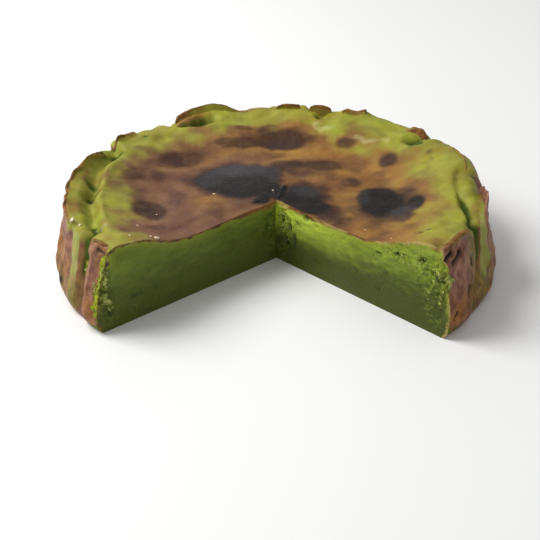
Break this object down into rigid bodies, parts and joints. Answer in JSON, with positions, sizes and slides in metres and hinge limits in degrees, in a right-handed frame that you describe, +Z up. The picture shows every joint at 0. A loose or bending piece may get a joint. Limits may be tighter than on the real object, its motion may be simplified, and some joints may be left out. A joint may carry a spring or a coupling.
{
  "type": "matcha basque cheesecake",
  "caption": "Round burnt-top green tea cheesecake with folded-paper sides and a quarter cut out.",
  "frame": {"origin": "middle of the bounding box's footprint, on the surface the cake stands on", "axes": "+Z up; the cut-out quarter opens towards -Y; +X to the right of someone who looks into the cut"},
  "size_m": [0.1938, 0.1671, 0.0393],
  "materials": {
    "baked_skin": "soft baked skin, olive at the rim, brown to burnt black in the middle, slightly glossy",
    "matcha_curd": "cut curd, matt, moist and finely pored"
  },
  "bodies": {
    "root": {"cheesecake": "baked_skin"}
  },
  "joints": []
}
